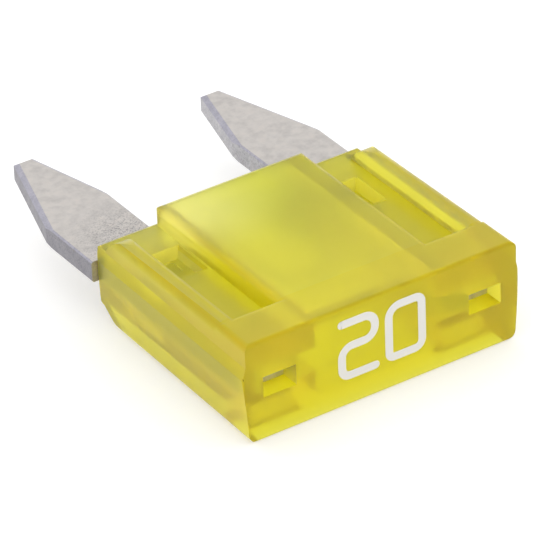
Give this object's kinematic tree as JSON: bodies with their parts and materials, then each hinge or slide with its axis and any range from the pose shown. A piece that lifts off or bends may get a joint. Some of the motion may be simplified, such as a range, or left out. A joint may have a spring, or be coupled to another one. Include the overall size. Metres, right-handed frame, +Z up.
{
  "type": "automotive blade fuse",
  "caption": "Small automotive blade fuse: a clear yellow ribbed housing over a thin U-shaped fusible link, with flat tapered blades that plug into a fuse box.",
  "frame": {"origin": "under the middle of the whole fuse, on the surface it lies on", "axes": "+X to the right across the two blades, +Y out along the blades, +Z up; the numbered face looks along -Y"},
  "size_m": [0.011, 0.0162, 0.0038],
  "materials": {
    "housing_plastic": "translucent yellow, satin moulded faces",
    "element_metal": "dull plated zinc, coined edges",
    "print_ink": "white pad print"
  },
  "bodies": {
    "root": {"housing": "housing_plastic", "fuse_element": "element_metal"}
  },
  "joints": []
}
